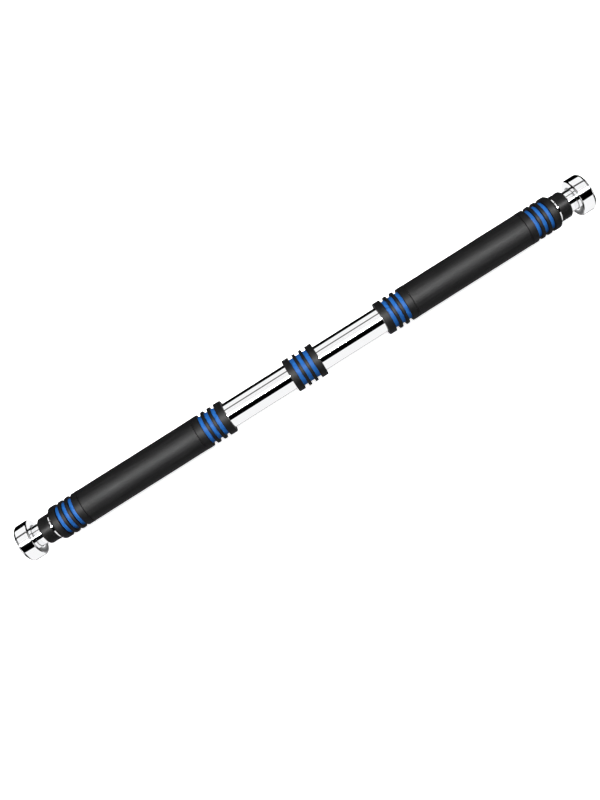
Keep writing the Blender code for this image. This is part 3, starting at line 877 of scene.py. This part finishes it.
def pale_floor():
    """Matt white card with the faintest mottle."""
    made, tree, shader, point = finish("white_card", 0.0, Specular_IOR_Level=0.0)
    mottle = grain(tree, point, 0.25, detail=3.0)
    tint = mixed(tree, mottle, (0.900, 0.900, 0.900), (0.930, 0.930, 0.930))
    tree.links.new(tint, shader.inputs["Base Color"])
    tree.links.new(tint, shader.inputs["Emission Color"])
    shader.inputs["Emission Strength"].default_value = 1.0
    shader.inputs["Roughness"].default_value = 0.9
    return made


bpy.ops.mesh.primitive_plane_add(size=FLOOR_SIZE, location=(0.0, 0.0, cad_low.z - FLOOR_GAP))
floor = bpy.context.object
floor.name = "studio_floor"
floor.data.materials.append(pale_floor())
floor.visible_glossy = False
floor.visible_diffuse = False

# light by direction round the bar: degrees from straight up towards +Y, and brightness
STRIPS = (
    (-180.0, 0.35), (-178.6, 0.12), (-165.0, 0.35), (-148.0, 0.40), (-145.0, 1.0), (-45.0, 1.0),
    (-42.0, 0.0), (-5.0, 0.0), (-2.0, 1.0), (51.0, 1.0), (53.0, 0.05), (60.5, 0.05), (62.5, 1.0),
    (102.0, 1.0), (105.0, 0.0), (152.0, 0.0), (157.0, 1.0), (180.0, 1.0),
)
WHITE = 1.25
# flags off both ends of the bar, by a direction's share along it: the white dims to the flag from
# the first share to the second, and comes back from the third to the fourth
FLAG_STARTS, FLAG_DARK, FLAG_CLEARS, FLAG_ENDS = 0.55, 0.64, 0.88, 0.93
FLAG = 0.05
GLOW = 0.13                     # light from all round on matt surfaces
BACKDROP = 1.6
world = bpy.data.worlds.new("studio")
bpy.context.scene.world = world
world.use_nodes = True
sky = world.node_tree
sky.nodes.clear()
x, y, z = node(sky, "ShaderNodeSeparateXYZ",
               {0: node(sky, "ShaderNodeTexCoord").outputs["Generated"]}).outputs
round_bar = sums(sky, "ARCTAN2", y, z)
strips = node(sky, "ShaderNodeFloatCurve", {"Value": between(sky, round_bar, -pi, pi, 0.0, 1.0)})
curve = strips.mapping.curves[0]
for number, (angle, brightness) in enumerate(STRIPS):
    position = angle / 360.0 + 0.5
    if number == 0:
        curve.points[0].location = (position, brightness)
    elif number == len(STRIPS) - 1:
        curve.points[-1].location = (position, brightness)
    else:
        curve.points.new(position, brightness)
for point in curve.points:
    point.handle_type = "VECTOR"
strips.mapping.update()
endways = sums(sky, "ABSOLUTE", x)
ends = sums(sky, "ADD", between(sky, endways, FLAG_STARTS, FLAG_DARK, WHITE, FLAG),
            between(sky, endways, FLAG_CLEARS, FLAG_ENDS, 0.0, WHITE))
path = node(sky, "ShaderNodeLightPath").outputs
gloss = node(sky, "ShaderNodeMix", {"Factor": path["Is Glossy Ray"], "A": GLOW,
                                    "B": sums(sky, "MULTIPLY", strips.outputs[0], ends)},
             data_type="FLOAT").outputs[0]
strength = node(sky, "ShaderNodeMix", {"Factor": path["Is Camera Ray"], "A": gloss,
                                       "B": BACKDROP}, data_type="FLOAT").outputs[0]
background = node(sky, "ShaderNodeBackground", {"Strength": strength})
node(sky, "ShaderNodeOutputWorld", {"Surface": background.outputs[0]})

STRIP_LENGTH = 2.6


def strip_light(name, width, energy, aside, above, lean):
    """A long soft box above the bar, moved aside towards +Y and tilted to face the bar."""
    box = bpy.data.lights.new(name, "AREA")
    box.shape = "RECTANGLE"
    box.size = STRIP_LENGTH
    box.size_y = width
    box.energy = energy
    light = bpy.data.objects.new(name, box)
    light.location = (0.0, aside, above)
    light.rotation_euler = (radians(lean), 0.0, 0.0)
    bpy.context.collection.objects.link(light)
    return light


key = strip_light("key_strip", width=0.16, energy=400.0, aside=0.14, above=1.35, lean=-6.0)
key.visible_diffuse = False
fill = strip_light("fill_strip", width=0.30, energy=52.0, aside=0.30, above=1.40, lean=-12.0)
fill.visible_glossy = False

VIEW_DISTANCE = 0.8815
VIEW_TURN = radians(32.24)
LENS = 38.7
SENSOR = 36.0
SHIFT_X = -0.0062
SHIFT_Y = -0.0406
camera_data = bpy.data.cameras.new("camera")
camera_data.sensor_width = SENSOR
camera_data.lens = LENS
camera_data.shift_x = SHIFT_X
camera_data.shift_y = SHIFT_Y
camera = bpy.data.objects.new("camera", camera_data)
camera.location = (0.0, 0.0, VIEW_DISTANCE)
camera.rotation_euler = (0.0, 0.0, -VIEW_TURN)
bpy.context.collection.objects.link(camera)
bpy.context.scene.camera = camera
bpy.context.scene.view_settings.view_transform = "Standard"
